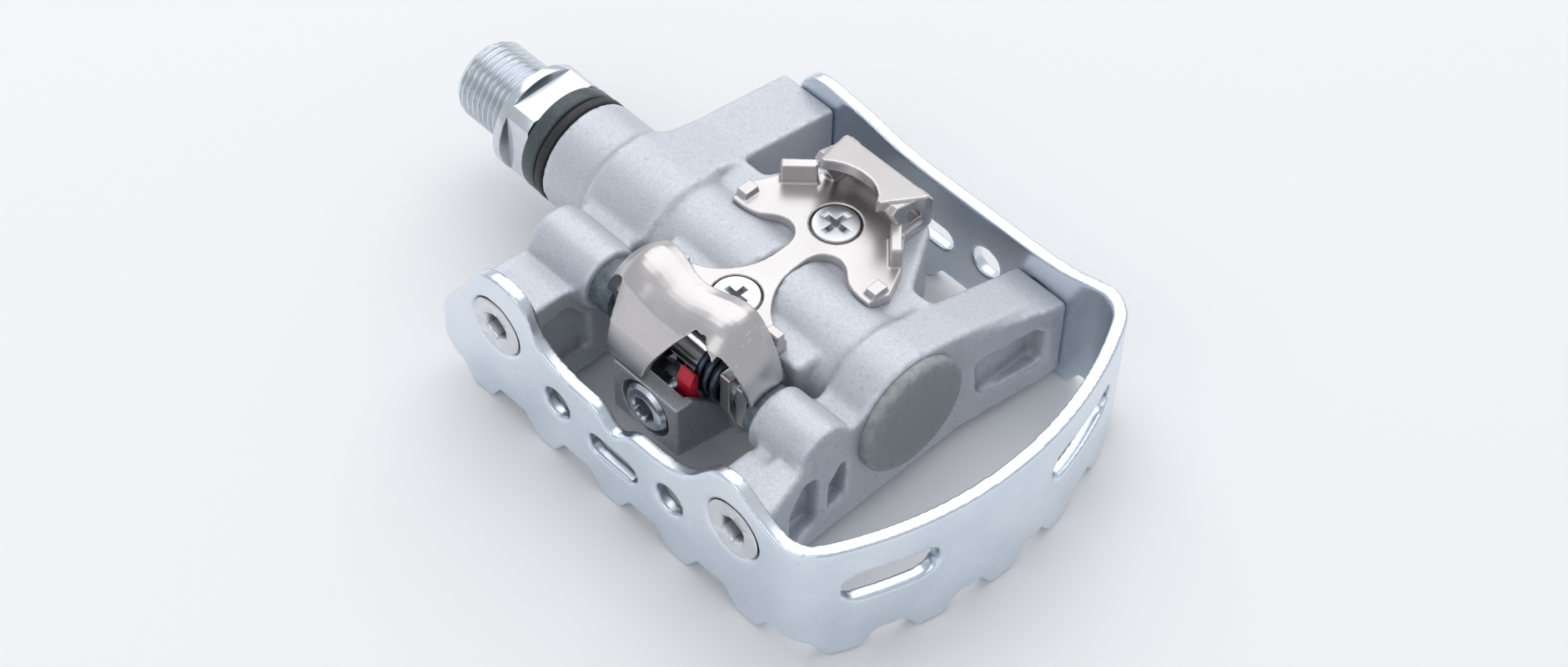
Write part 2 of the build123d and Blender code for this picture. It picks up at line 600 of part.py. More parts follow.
save(spindle(), "spindle")
save(dust_ring(), "dust_ring")
save(seal_lip(), "seal_lip")
save(inner_cup(), "inner_cup")
save(outer_cup(), "outer_cup")
save(ball_ring(INNER_RACE), "inner_balls")
save(ball_ring(OUTER_RACE), "outer_balls")
save(outer_cone(), "outer_cone")
save(lock_washer(), "lock_washer")
save(lock_nut(), "lock_nut")
save(end_cap(), "end_cap")
save(pedal_body(), "pedal_body")
save(cleat_plate(), "cleat_plate")
save(plate_screws(), "plate_screws")
save(rear_binding(), "rear_binding")
save(tension_block(), "tension_block")
save(tension_bolt(), "tension_bolt")
save(tension_nut(), "tension_nut")
save(tension_indicator(), "tension_indicator")
save(torsion_spring(-1), "spring_inner")
save(torsion_spring(1), "spring_outer")
save(binding_pin(), "binding_pin")
save(pin_plug(), "pin_plug")
save(pin_bushes(), "pin_bushes")
save(cage(), "cage")
save(cage_bolts(), "cage_bolts")
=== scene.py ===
import json
import math

import bmesh
import bpy
from mathutils import Matrix, Vector


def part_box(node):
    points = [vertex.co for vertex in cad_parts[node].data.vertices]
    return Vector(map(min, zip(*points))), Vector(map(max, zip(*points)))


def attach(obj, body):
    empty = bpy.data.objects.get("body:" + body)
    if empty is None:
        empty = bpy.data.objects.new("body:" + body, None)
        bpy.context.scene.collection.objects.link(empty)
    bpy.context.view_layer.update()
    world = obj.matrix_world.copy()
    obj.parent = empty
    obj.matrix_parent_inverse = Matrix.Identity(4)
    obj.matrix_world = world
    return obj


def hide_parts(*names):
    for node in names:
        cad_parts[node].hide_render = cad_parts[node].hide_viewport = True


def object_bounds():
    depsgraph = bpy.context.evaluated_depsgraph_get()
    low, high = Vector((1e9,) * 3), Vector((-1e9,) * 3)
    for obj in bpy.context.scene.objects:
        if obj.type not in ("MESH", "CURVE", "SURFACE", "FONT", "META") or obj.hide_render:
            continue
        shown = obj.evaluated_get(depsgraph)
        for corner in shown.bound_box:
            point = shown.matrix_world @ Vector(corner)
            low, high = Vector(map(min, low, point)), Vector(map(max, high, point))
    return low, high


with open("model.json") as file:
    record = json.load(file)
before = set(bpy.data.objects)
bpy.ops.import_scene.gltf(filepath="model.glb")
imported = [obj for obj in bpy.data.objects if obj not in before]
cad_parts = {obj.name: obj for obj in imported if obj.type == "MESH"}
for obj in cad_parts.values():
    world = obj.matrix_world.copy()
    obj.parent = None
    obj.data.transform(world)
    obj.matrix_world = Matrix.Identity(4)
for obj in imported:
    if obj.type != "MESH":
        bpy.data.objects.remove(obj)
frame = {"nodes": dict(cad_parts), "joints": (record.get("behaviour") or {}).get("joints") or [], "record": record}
cad_low, cad_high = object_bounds()
MM = 0.001

# ---- places taken from the frame ----
JOINTS = {j["name"]: j for j in frame["joints"]}
PIN = Vector(JOINTS["jaw_open"]["pos_m"])
BOLT_AXIS = Vector(JOINTS["tension_turn"]["pos_m"])
FLOOR_Z = cad_low.z - 0.1 * MM

# ---- crank thread: 9/16 inch, 20 threads to the inch ----
THREAD_PITCH = 1.27 * MM
THREAD_DEPTH = 0.78 * MM
THREAD_R = 7.144 * MM
SOCKET_HALF = 3.0          # mm, half the hex socket in the spindle's end

# ---- small parts ----
SCREW_HEAD_R = 4.0 * MM
SPRING_WIRE_R = 0.7 * MM
SPRING_CLEAR = 0.72 * MM   # from the spring's ends to the middle of its wire

# ---- stage ----
CAMERA_AZIMUTH, CAMERA_ELEVATION, CAMERA_ROLL = (math.radians(v) for v in (44.81, 50.22, 1.5))
CAMERA_TARGET = Vector((56.55, 1.16, -7.06)) * MM
CAMERA_DISTANCE = 449.58 * MM
CAMERA_LENS = 66.23
LIGHT_TARGET = Vector((0.055, 0.0, 0.0))
FLOOR_HALF = 2.5


# =====================================================================
# shader node groups
# =====================================================================
def new_group(name, inputs, outputs):
    """An empty shader group. inputs are (name, default); outputs are (name, kind)."""
    tree = bpy.data.node_groups.new(name, "ShaderNodeTree")
    for label, default in inputs:
        kind = "NodeSocketColor" if isinstance(default, tuple) else "NodeSocketFloat"
        socket = tree.interface.new_socket(name=label, in_out="INPUT", socket_type=kind)
        socket.default_value = (*default, 1.0) if isinstance(default, tuple) else default
    for label, kind in outputs:
        tree.interface.new_socket(name=label, in_out="OUTPUT", socket_type=kind)
    return tree, tree.nodes.new("NodeGroupInput"), tree.nodes.new("NodeGroupOutput")


def math_node(tree, operation, a, b=None, clamp=False):
    node = tree.nodes.new("ShaderNodeMath")
    node.operation = operation
    node.use_clamp = clamp
    for socket, value in zip(node.inputs, (a, b)):
        if value is None:
            continue
        if hasattr(value, "links"):
            tree.links.new(value, socket)
        else:
            socket.default_value = value
    return node.outputs[0]


def noise_node(tree, vector, scale, detail=3.0, rough=0.5):
    node = tree.nodes.new("ShaderNodeTexNoise")
    node.inputs["Detail"].default_value = detail
    node.inputs["Roughness"].default_value = rough
    tree.links.new(vector, node.inputs["Vector"])
    if hasattr(scale, "links"):
        tree.links.new(scale, node.inputs["Scale"])
    else:
        node.inputs["Scale"].default_value = scale
    return node.outputs["Fac"]


def object_coords(tree, stretch=(1.0, 1.0, 1.0)):
    coords = tree.nodes.new("ShaderNodeTexCoord")
    mapping = tree.nodes.new("ShaderNodeMapping")
    mapping.inputs["Scale"].default_value = stretch
    tree.links.new(coords.outputs["Object"], mapping.inputs["Vector"])
    return mapping.outputs["Vector"]


def ramp_node(tree, value, stops):
    node = tree.nodes.new("ShaderNodeValToRGB")
    ramp = node.color_ramp
    while len(ramp.elements) < len(stops):
        ramp.elements.new(0.5)
    for element, (place, level) in zip(ramp.elements, stops):
        element.position = place
        element.color = (level, level, level, 1.0)
    tree.links.new(value, node.inputs["Fac"])
    return node.outputs["Color"]


def grain_group():
    """Fine speckle and a low waviness, as on a cast or moulded skin."""
    tree, given, out = new_group(
        "skin_grain", [("Grain Scale", 2600.0), ("Wave Scale", 160.0), ("Wave Share", 0.35)],
        [("Speckle", "NodeSocketFloat"), ("Height", "NodeSocketFloat")],
    )
    coords = object_coords(tree)
    fine = noise_node(tree, coords, given.outputs["Grain Scale"], 4.0, 0.62)
    wave = noise_node(tree, coords, given.outputs["Wave Scale"], 2.0, 0.5)
    tree.links.new(ramp_node(tree, fine, [(0.36, 0.0), (0.66, 1.0)]), out.inputs["Speckle"])
    low = math_node(tree, "MULTIPLY", wave, given.outputs["Wave Share"])
    tree.links.new(math_node(tree, "ADD", fine, low), out.inputs["Height"])
    return tree


def wear_and_shade_group():
    """Bright rubbed edges, and painted shade in the hollows, both found from how sharply the surface turns."""
    tree, given, out = new_group(
        "edge_wear_and_hollow_shade", [("Sharpness", 14.0), ("Break Up", 700.0)],
        [("Edge", "NodeSocketFloat"), ("Hollow Shade", "NodeSocketFloat")],
    )
    point = tree.nodes.new("ShaderNodeNewGeometry").outputs["Pointiness"]
    off = math_node(tree, "SUBTRACT", point, 0.5)
    high = math_node(tree, "MULTIPLY", off, given.outputs["Sharpness"], clamp=True)
    patch = noise_node(tree, object_coords(tree), given.outputs["Break Up"], 3.0, 0.6)
    patch = ramp_node(tree, patch, [(0.38, 0.25), (0.62, 1.0)])
    tree.links.new(math_node(tree, "MULTIPLY", high, patch, clamp=True), out.inputs["Edge"])
    # painted shade: the concave side of the pointiness becomes the mask that darkens hollows and creases
    under = math_node(tree, "MULTIPLY", off, -1.0)
    low = math_node(tree, "MULTIPLY", under, given.outputs["Sharpness"], clamp=True)
    tree.links.new(low, out.inputs["Hollow Shade"])
    return tree


def line_group():
    """Fine parallel lines, as rolling, turning or polishing leaves them."""
    tree, given, out = new_group(
        "work_lines", [("Line Scale", 500.0), ("Smudge Scale", 55.0)],
        [("Lines", "NodeSocketFloat"), ("Smudge", "NodeSocketFloat")],
    )
    along = noise_node(tree, object_coords(tree, (0.06, 0.06, 3.2)), given.outputs["Line Scale"], 3.0, 0.6)
    smudge = noise_node(tree, object_coords(tree), given.outputs["Smudge Scale"], 3.0, 0.55)
    tree.links.new(along, out.inputs["Lines"])
    tree.links.new(ramp_node(tree, smudge, [(0.35, 0.0), (0.68, 1.0)]), out.inputs["Smudge"])
    return tree


def dirt_group():
    """Sparse dark specks of road dust."""
    tree, given, out = new_group(
        "dust_specks", [("Speck Scale", 900.0), ("Amount", 0.1)], [("Specks", "NodeSocketFloat")],
    )
    dots = noise_node(tree, object_coords(tree), given.outputs["Speck Scale"], 1.0, 0.4)
    dots = ramp_node(tree, dots, [(0.66, 0.0), (0.74, 1.0)])
    tree.links.new(math_node(tree, "MULTIPLY", dots, given.outputs["Amount"]), out.inputs["Specks"])
    return tree


GRAIN, WEAR_AND_SHADE, LINES, DUST = grain_group(), wear_and_shade_group(), line_group(), dirt_group()


# =====================================================================
# finishes
# =====================================================================
def place_group(tree, group, **values):
    node = tree.nodes.new("ShaderNodeGroup")
    node.node_tree = group
    for label, value in values.items():
        node.inputs[label.replace("_", " ")].default_value = value
    return node.outputs


def mix_colour(tree, mask, low, high):
    node = tree.nodes.new("ShaderNodeMix")
    node.data_type = "RGBA"
    sockets = [s for s in node.inputs if s.type == "RGBA"]
    for socket, value in zip(sockets, (low, high)):
        if hasattr(value, "links"):
            tree.links.new(value, socket)
        else:
            socket.default_value = (*value, 1.0)
    tree.links.new(mask, node.inputs["Factor"])
    return next(s for s in node.outputs if s.type == "RGBA")


def span(tree, mask, low, high):
    """A value that runs from low where the mask is 0 to high where it is 1."""
    node = tree.nodes.new("ShaderNodeMapRange")
    node.inputs["To Min"].default_value = low
    node.inputs["To Max"].default_value = high
    tree.links.new(mask, node.inputs["Value"])
    return node.outputs["Result"]


def finish_material(material, colour, rough, height, strength, depth_mm, metallic=1.0):
    """Closes a material: puts the worked-out colour, roughness and relief on one shader."""
    tree = material.node_tree
    bsdf = tree.nodes["Principled BSDF"]
    bsdf.inputs["Metallic"].default_value = metallic
    tree.links.new(colour, bsdf.inputs["Base Color"])
    tree.links.new(rough, bsdf.inputs["Roughness"])
    bump = tree.nodes.new("ShaderNodeBump")
    bump.inputs["Strength"].default_value = strength
    bump.inputs["Distance"].default_value = depth_mm * MM
    tree.links.new(height, bump.inputs["Height"])
    tree.links.new(bump.outputs["Normal"], bsdf.inputs["Normal"])
    return material


def start_material(name):
    material = bpy.data.materials.new(name)
    material.use_nodes = True
    return material


def grained(name, base, speckle, rough, strength, depth, grain=2600.0, wear=0.25, metallic=0.0):
    """A painted, cast or moulded skin: speckle, soft relief, lighter edges, painted shade in hollows, dust."""
    material = start_material(name)
    tree = material.node_tree
    skin = place_group(tree, GRAIN, Grain_Scale=grain)
    edges = place_group(tree, WEAR_AND_SHADE)
    dust = place_group(tree, DUST, Amount=0.12)
    colour = mix_colour(tree, skin["Speckle"], base, speckle)
    worn = tuple(min(1.0, c * (1 + wear)) for c in speckle)
    colour = mix_colour(tree, edges["Edge"], colour, worn)
    # painted shade: hollows darkened to 0.55 of the base colour
    colour = mix_colour(tree, edges["Hollow Shade"], colour, tuple(c * 0.55 for c in base))
    colour = mix_colour(tree, dust["Specks"], colour, tuple(c * 0.2 for c in base))
    roughness = span(tree, skin["Speckle"], rough + 0.05, rough - 0.05)
    return finish_material(material, colour, roughness, skin["Height"], strength, depth, metallic)


def plated(name, base, tint, rough, lines, smudge=55.0, strength=0.12):
    """A plated or ground metal: fine work lines, hazy patches, bright edges and painted shade in hollows."""
    material = start_material(name)
    tree = material.node_tree
    work = place_group(tree, LINES, Line_Scale=lines, Smudge_Scale=smudge)
    edges = place_group(tree, WEAR_AND_SHADE, Sharpness=9.0)
    dust = place_group(tree, DUST, Speck_Scale=1300.0, Amount=0.1)
    colour = mix_colour(tree, work["Smudge"], base, tint)
    colour = mix_colour(tree, edges["Edge"], colour, tuple(min(1.0, c * 1.15) for c in base))
    # painted shade: hollows darkened to half the base colour
    colour = mix_colour(tree, edges["Hollow Shade"], colour, tuple(c * 0.5 for c in base))
    colour = mix_colour(tree, dust["Specks"], colour, tuple(c * 0.3 for c in base))
    roughness = span(tree, work["Smudge"], rough, rough + 0.08)
    return finish_material(material, colour, roughness, work["Lines"], strength, 0.02)


FINISHES = {
    "body_paint": grained(
        "silver_casting", (0.54, 0.562, 0.612), (0.64, 0.662, 0.715), 0.46, strength=0.30, depth=0.05, metallic=0.45,
    ),
    "cap_plastic": grained(
        "grey_cap", (0.235, 0.255, 0.262), (0.30, 0.32, 0.327), 0.5, grain=3000.0, strength=0.25, depth=0.03, wear=0.5,
    ),
    "ring_plastic": grained(
        "dust_ring_dark", (0.035, 0.05, 0.055), (0.06, 0.08, 0.085), 0.36, strength=0.15, depth=0.02, wear=0.6,
    ),
    "seal_rubber": grained(
        "seal_black", (0.010, 0.010, 0.011), (0.02, 0.02, 0.021), 0.5, strength=0.2, depth=0.03, wear=0.5,
    ),
    "bush_plastic": grained(
        "bush_dark", (0.05, 0.065, 0.08), (0.09, 0.11, 0.13), 0.42, strength=0.2, depth=0.03, wear=0.8,
    ),
    "flag_red": grained(
        "indicator_red", (0.42, 0.006, 0.02), (0.56, 0.012, 0.035), 0.32, strength=0.1, depth=0.02, wear=0.3,
    ),
    "block_steel": grained(
        "block_grey", (0.33, 0.34, 0.36), (0.43, 0.44, 0.46), 0.42, grain=2000.0, strength=0.3, depth=0.05, metallic=0.6,
    ),
    "cage_zinc": plated("cage_bright", (0.70, 0.77, 0.85), (0.80, 0.85, 0.91), 0.24, lines=260.0, smudge=70.0),
    "jaw_chrome": plated(
        "jaw_polished", (0.66, 0.632, 0.628), (0.58, 0.557, 0.555), 0.25, lines=300.0, smudge=45.0, strength=0.05,
    ),
    "spindle_steel": plated("spindle_bright", (0.72, 0.76, 0.80), (0.62, 0.66, 0.71), 0.2, lines=420.0),
    "screw_steel": plated("screw_plated", (0.70, 0.71, 0.74), (0.60, 0.61, 0.65), 0.28, lines=600.0),
    "zinc_steel": plated("zinc_plated", (0.62, 0.66, 0.70), (0.50, 0.54, 0.58), 0.24, lines=700.0),
    "bearing_steel": plated("bearing_ground", (0.64, 0.65, 0.68), (0.58, 0.59, 0.62), 0.16, lines=900.0),
    "spring_steel": plated("spring_blued", (0.06, 0.085, 0.115), (0.10, 0.13, 0.17), 0.3, lines=500.0),
}

for part in frame["record"]["subparts"]:
    obj = frame["nodes"][part["node"]]
    obj.data.materials.clear()
    obj.data.materials.append(FINISHES[part["material_slot"]])


# =====================================================================
# making pieces
# =====================================================================
def add_piece(name, mesh, slot, body, *nodes):
    """Puts a mesh in the scene as a piece with its finish, body and the CAD nodes it stands for."""
    obj = bpy.data.objects.new(name, mesh)
    bpy.context.collection.objects.link(obj)
    mesh.materials.clear()
    mesh.materials.append(FINISHES[slot])
    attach(obj, body)
    if nodes:
        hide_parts(*nodes)
    return obj


def evaluated(obj):
    """The object's mesh with its modifiers worked in; the object itself is dropped."""
    graph = bpy.context.evaluated_depsgraph_get()
    mesh = bpy.data.meshes.new_from_object(obj.evaluated_get(graph))
    bpy.data.objects.remove(obj)
    return mesh


def loose_object(mesh):
    """A bare object for a mesh still being worked on."""
    obj = bpy.data.objects.new("work", mesh)
    bpy.context.collection.objects.link(obj)
    return obj


def joined_copy(node, *cuts):
    """A CAD node's mesh, its loose triangles joined, kept ahead of each (point, normal) and closed again."""
    bm = bmesh.new()
    bm.from_mesh(frame["nodes"][node].data)
    bmesh.ops.remove_doubles(bm, verts=bm.verts, dist=1e-6)
    for point, normal in cuts:
        every = bm.verts[:] + bm.edges[:] + bm.faces[:]
        cut = bmesh.ops.bisect_plane(bm, geom=every, plane_co=point, plane_no=normal, clear_inner=True)
        rim = [e for e in cut["geom_cut"] if isinstance(e, bmesh.types.BMEdge)]
        bmesh.ops.holes_fill(bm, edges=rim)
    mesh = bpy.data.meshes.new(node + "_copy")
    bm.to_mesh(mesh)
    bm.free()
    return mesh


def smooth_faces(mesh, angle=None):
    """Smooth shading; with an angle, edges sharper than it stay crisp."""
    for face in mesh.polygons:
        face.use_smooth = True
    if angle:
        mesh.set_sharp_from_angle(angle=math.radians(angle))
    return mesh


def softened(mesh, voxel_mm, rounds):
    """Remakes a mesh as an even skin and melts its edges, as casting or polishing does."""
    obj = loose_object(mesh)
    skin = obj.modifiers.new("even_skin", "REMESH")
    skin.mode = "VOXEL"
    skin.voxel_size = voxel_mm * MM
    melt = obj.modifiers.new("melted_edges", "SMOOTH")
    melt.factor = 0.5
    melt.iterations = rounds
    return smooth_faces(evaluated(obj))


def bevelled(mesh, width_mm):
    """Breaks the sharp edges by a small bevel."""
    obj = loose_object(mesh)
    bevel = obj.modifiers.new("broken_edges", "BEVEL")
    bevel.width = width_mm * MM
    bevel.segments = 2
    bevel.limit_method = "ANGLE"
    bevel.angle_limit = math.radians(35.0)
    return smooth_faces(evaluated(obj), 40.0)


def hex_rim(angle):
    """How far a hexagon's side lies beyond its inscribed circle at this angle."""
    return 1.0 / math.cos((angle + math.pi / 6) % (math.pi / 3) - math.pi / 6)


def cross_rim(angle, arm=0.27):
    """A cross of four arms, 1 long and twice arm wide."""
    along, across = sorted((abs(math.cos(angle)), abs(math.sin(angle))), reverse=True)
    return min(1.0 / along, arm / max(across, 1e-4))


def lathe(rows, segments):
    """A closed turned form round +Z. Rows are (radius, height) in mm, with a rim where it isn't round.

    A zero radius closes the form to a point.
    """
    bm = bmesh.new()
    rings = []
    for radius, height, *rim in rows:
        if radius == 0:
            rings.append([bm.verts.new((0, 0, height * MM))])
            continue
        ring = []
        for i in range(segments):
            angle = 2 * math.pi * i / segments
            r = radius * (rim[0](angle) if rim else 1.0) * MM
            ring.append(bm.verts.new((r * math.cos(angle), r * math.sin(angle), height * MM)))
        rings.append(ring)
    closed = rows[0][0] > 0
    pairs = list(zip(rings, rings[1:])) + ([(rings[-1], rings[0])] if closed else [])
    for low, high in pairs:
        for i in range(segments):
            j = (i + 1) % segments
            corners = [low[i % len(low)], low[j % len(low)], high[j % len(high)], high[i % len(high)]]
            unique = list(dict.fromkeys(corners))
            if len(unique) > 2:
                bm.faces.new(unique)
    bmesh.ops.recalc_face_normals(bm, faces=bm.faces)
    mesh = bpy.data.meshes.new("turned")
    bm.to_mesh(mesh)
    bm.free()
    return smooth_faces(mesh, 35.0)


def along_x(mesh, x, y=0.0, z=0.0):
    """Turns a lathe form so that its axis runs along +X from the given place."""
    mesh.transform(Matrix.Translation((x, y, z)) @ Matrix.Rotation(math.pi / 2, 4, "Y"))
    return mesh


# =====================================================================
# geometry node trees
# =====================================================================
class Tree:
    """A geometry node tree under construction."""

    def __init__(self, name, inputs):
        self.tree = bpy.data.node_groups.new(name, "GeometryNodeTree")
        self.tree.interface.new_socket(name="Geometry", in_out="INPUT", socket_type="NodeSocketGeometry")
        self.sockets = {}
        for label, kind, default in inputs:
            socket = self.tree.interface.new_socket(name=label, in_out="INPUT", socket_type="NodeSocket" + kind)
            if default is not None:
                socket.default_value = default
            self.sockets[label] = socket.identifier
        self.tree.interface.new_socket(name="Geometry", in_out="OUTPUT", socket_type="NodeSocketGeometry")
        self.given = self.tree.nodes.new("NodeGroupInput").outputs
        self.out = self.tree.nodes.new("NodeGroupOutput")

    def node(self, kind, settings=None, **values):
        made = self.tree.nodes.new(kind)
        for label, value in (settings or {}).items():
            setattr(made, label, value)
        for label, value in values.items():
            by_place = label[0] == "i" and label[1:].isdigit()
            socket = made.inputs[int(label[1:]) if by_place else label.replace("_", " ")]
            if hasattr(value, "links"):
                self.tree.links.new(value, socket)
            else:
                socket.default_value = value
        return made.outputs

    def math(self, operation, a, b=0.0, c=None):
        extra = {} if c is None else {"i2": c}
        return self.node("ShaderNodeMath", {"operation": operation}, i0=a, i1=b, **extra)[0]

    def close(self, geometry, material):
        """Realize Instances and Set Material end every tree."""
        real = self.node("GeometryNodeRealizeInstances", Geometry=geometry)[0]
        done = self.node("GeometryNodeSetMaterial", Geometry=real, Material=material)[0]
        self.tree.links.new(done, self.out.inputs[0])
        return self

    def grow(self, mesh, **values):
        """Runs the tree on a mesh with these input values and returns the plain mesh."""
        obj = loose_object(mesh)
        modifier = obj.modifiers.new("grow", "NODES")
        modifier.node_group = self.tree
        for label, value in values.items():
            modifier[self.sockets[label.replace("_", " ")]] = value
        return evaluated(obj)


def thread_tree(material):
    """A screw thread round the X axis: a rolled-up grid whose radius follows the helix."""
    t = Tree("crank_thread", [
        ("Length", "Float", 0.0125), ("Pitch", "Float", 0.00127), ("Outer Radius", "Float", 0.007144),
        ("Depth", "Float", 0.0008), ("Lead In", "Float", 0.001), ("Around", "Int", 96), ("Along", "Int", 120),
    ])
    grid = t.node(
        "GeometryNodeMeshGrid", Size_X=1.0, Size_Y=1.0, Vertices_X=t.given["Around"], Vertices_Y=t.given["Along"],
    )[0]
    place = t.node("ShaderNodeSeparateXYZ", i0=t.node("GeometryNodeInputPosition")[0])
    turn = t.math("ADD", place[0], 0.5)
    depth_in = t.math("ADD", place[1], 0.5)
    x = t.math("MULTIPLY", depth_in, t.given["Length"])
    phase = t.math("SUBTRACT", t.math("DIVIDE", x, t.given["Pitch"]), turn)
    saw = t.math("PINGPONG", phase, 0.5)
    flank = t.node("ShaderNodeMapRange", {"clamp": True}, i0=saw, i1=0.06, i2=0.44, i3=0.0, i4=1.0)[0]
    to_tip = t.node("ShaderNodeMapRange", {"clamp": True}, i0=x, i1=0.0, i2=t.given["Lead In"], i3=1.0, i4=0.0)[0]
    to_root = t.math("SUBTRACT", t.given["Length"], x)
    run_out = t.node("ShaderNodeMapRange", {"clamp": True}, i0=to_root, i1=0.0, i2=0.0011, i3=1.0, i4=0.0)[0]
    cut = t.math("MAXIMUM", flank, t.math("MAXIMUM", to_tip, run_out))
    radius = t.math("SUBTRACT", t.given["Outer Radius"], t.math("MULTIPLY", cut, t.given["Depth"]))
    angle = t.math("MULTIPLY", turn, 2 * math.pi)
    y = t.math("MULTIPLY", radius, t.math("COSINE", angle))
    z = t.math("MULTIPLY", radius, t.math("SINE", angle))
    where = t.node("ShaderNodeCombineXYZ", i0=t.math("SUBTRACT", x, t.given["Length"]), i1=y, i2=z)[0]
    moved = t.node("GeometryNodeSetPosition", Geometry=grid, Position=where)[0]
    return t.close(t.node("GeometryNodeMergeByDistance", Geometry=moved, Distance=1e-7)[0], material)


def coil_tree(material):
    """A wire wound round the X axis; one leg drops from its start, one runs ahead from its end."""
    t = Tree("torsion_spring", [
        ("Turns", "Float", 3.0), ("Coil Radius", "Float", 0.0035), ("Width", "Float", 0.0048),
        ("Wire Radius", "Float", 0.0007), ("Leg Down", "Float", 0.0032), ("Leg Ahead", "Float", 0.0064),
        ("Side", "Float", 1.0),
    ])
    steps = 144
    share = t.math("DIVIDE", t.node("GeometryNodeInputIndex")[0], float(steps))
    angle = t.math("MULTIPLY", t.math("MULTIPLY", share, t.given["Turns"]), 2 * math.pi)
    reach = t.math("MULTIPLY", t.given["Width"], t.given["Side"])
    low = t.math("MULTIPLY", t.given["Coil Radius"], -1.0)
    place = t.node(
        "ShaderNodeCombineXYZ", i0=t.math("MULTIPLY", share, reach),
        i1=t.math("MULTIPLY", t.math("SINE", angle), t.given["Coil Radius"]),
        i2=t.math("MULTIPLY", t.math("COSINE", angle), low),
    )[0]
    line = t.node("GeometryNodeMeshLine", Count=steps + 1)[0]
    wound = t.node("GeometryNodeSetPosition", Geometry=line, Position=place)[0]
    wound = t.node("GeometryNodeMeshToCurve", Mesh=wound)[0]
    start = t.node("ShaderNodeCombineXYZ", i0=0.0, i1=0.0, i2=low)[0]
    foot = t.node("ShaderNodeCombineXYZ", i0=0.0, i1=0.0, i2=t.math("SUBTRACT", low, t.given["Leg Down"]))[0]
    end = t.node("ShaderNodeCombineXYZ", i0=reach, i1=0.0, i2=low)[0]
    toe = t.node("ShaderNodeCombineXYZ", i0=reach, i1=t.given["Leg Ahead"], i2=low)[0]
    down = t.node("GeometryNodeCurvePrimitiveLine", Start=foot, End=start)[0]
    ahead = t.node("GeometryNodeCurvePrimitiveLine", Start=end, End=toe)[0]
    join = t.tree.nodes.new("GeometryNodeJoinGeometry")
    for part in (wound, down, ahead):
        t.tree.links.new(part, join.inputs[0])
    ring = t.node("GeometryNodeCurvePrimitiveCircle", Resolution=16, Radius=t.given["Wire Radius"])[0]
    wire = t.node("GeometryNodeCurveToMesh", Curve=join.outputs[0], Profile_Curve=ring, Fill_Caps=True)[0]
    return t.close(wire, material)


def copies_tree(name, material):
    """One form set on every vertex of a mesh, its +Z turned to the vertex's facing attribute."""
    t = Tree(name, [("Form", "Object", None), ("Size", "Float", 1.0)])
    form = t.node("GeometryNodeObjectInfo", Object=t.given["Form"])
    facing = t.node("GeometryNodeInputNamedAttribute", {"data_type": "FLOAT_VECTOR"}, Name="facing")[0]
    turned = t.node("FunctionNodeAlignRotationToVector", Vector=facing)[0]
    placed = t.node(
        "GeometryNodeInstanceOnPoints", Points=t.given["Geometry"], Instance=form["Geometry"],
        Rotation=turned, Scale=t.given["Size"],
    )[0]
    return t.close(placed, material)


def set_on_points(name, form_mesh, places, facings, material):
    """Copies of a form at the places, each facing its own way, as one plain mesh."""
    form = loose_object(form_mesh)
    points = bpy.data.meshes.new("places")
    points.from_pydata([tuple(p) for p in places], [], [])
    facing = points.attributes.new("facing", "FLOAT_VECTOR", "POINT")
    for item, value in zip(facing.data, facings):
        item.vector = value
    mesh = copies_tree(name, material).grow(points, Form=form)
    bpy.data.objects.remove(form)
    return mesh


# =====================================================================
# spindle
# =====================================================================
def add_spindle():
    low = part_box("spindle")[0]
    thread = thread_tree(FINISHES["spindle_steel"]).grow(
        bpy.data.meshes.new("blank"), Length=-low.x, Pitch=THREAD_PITCH, Outer_Radius=THREAD_R, Depth=THREAD_DEPTH,
        Lead_In=1.3 * MM, Around=73, Along=161,
    )
    bm = bmesh.new()
    bm.from_mesh(thread)
    bmesh.ops.holes_fill(bm, edges=[e for e in bm.edges if e.is_boundary])
    bmesh.ops.recalc_face_normals(bm, faces=bm.faces)
    bm.to_mesh(thread)
    bm.free()
    socket = lathe([(0, -1), (SOCKET_HALF, -1, hex_rim), (SOCKET_HALF, 6.0, hex_rim), (0, 6.0)], 48)
    thread = cut_away(thread, along_x(socket, low.x))
    add_piece("crank_thread", smooth_faces(thread, 50.0), "spindle_steel", "spindle")
    shank = bevelled(joined_copy("spindle", (Vector((-0.02 * MM, 0, 0)), Vector((1, 0, 0)))), 0.25)
    add_piece("spindle_shank", shank, "spindle_steel", "spindle", "spindle")


def add_body():
    body = softened(joined_copy("pedal_body"), 0.56, 5)
    add_piece("body_casting", body, "body_paint", "pedal", "pedal_body")


# ---- the jaw's outer face, half of it: x from the middle, then (y, z) of lip, roof and crease ----
JAW_SECTIONS = [
    (0.0, (-16.4, 16.9), (-19.2, 16.4), (-22.3, 14.7)), (2.2, (-16.2, 17.0), (-19.1, 16.5), (-22.3, 14.8)),
    (4.4, (-15.6, 17.1), (-18.8, 16.9), (-22.1, 15.0)), (6.6, (-15.1, 17.4), (-18.6, 17.3), (-21.9, 15.4)),
    (8.8, (-14.9, 17.2), (-18.4, 17.3), (-21.7, 15.4)), (10.6, (-14.8, 15.6), (-18.2, 15.9), (-21.3, 14.2)),
    (12.2, (-14.8, 13.2), (-18.0, 13.7), (-20.9, 12.0)), (13.5, (-14.9, 10.6), (-17.9, 11.1), (-20.6, 9.6)),
    (14.4, (-15.1, 7.8), (-17.8, 8.2), (-20.5, 7.0)),
]
REAR_WALL = [(-24.5, 9.8), (-25.7, 4.4)]
REAR_HALF = 9.4
WINDOW = [
    (5.3, 17.2), (3.1, 13.9), (1.0, 10.2), (-0.4, 7.2), (-1.1, 4.6), (-1.1, -4.0), (13.0, -4.0), (13.0, 9.0), (11.4, 13.0),
    (9.6, 15.6), (7.4, 17.4),
]


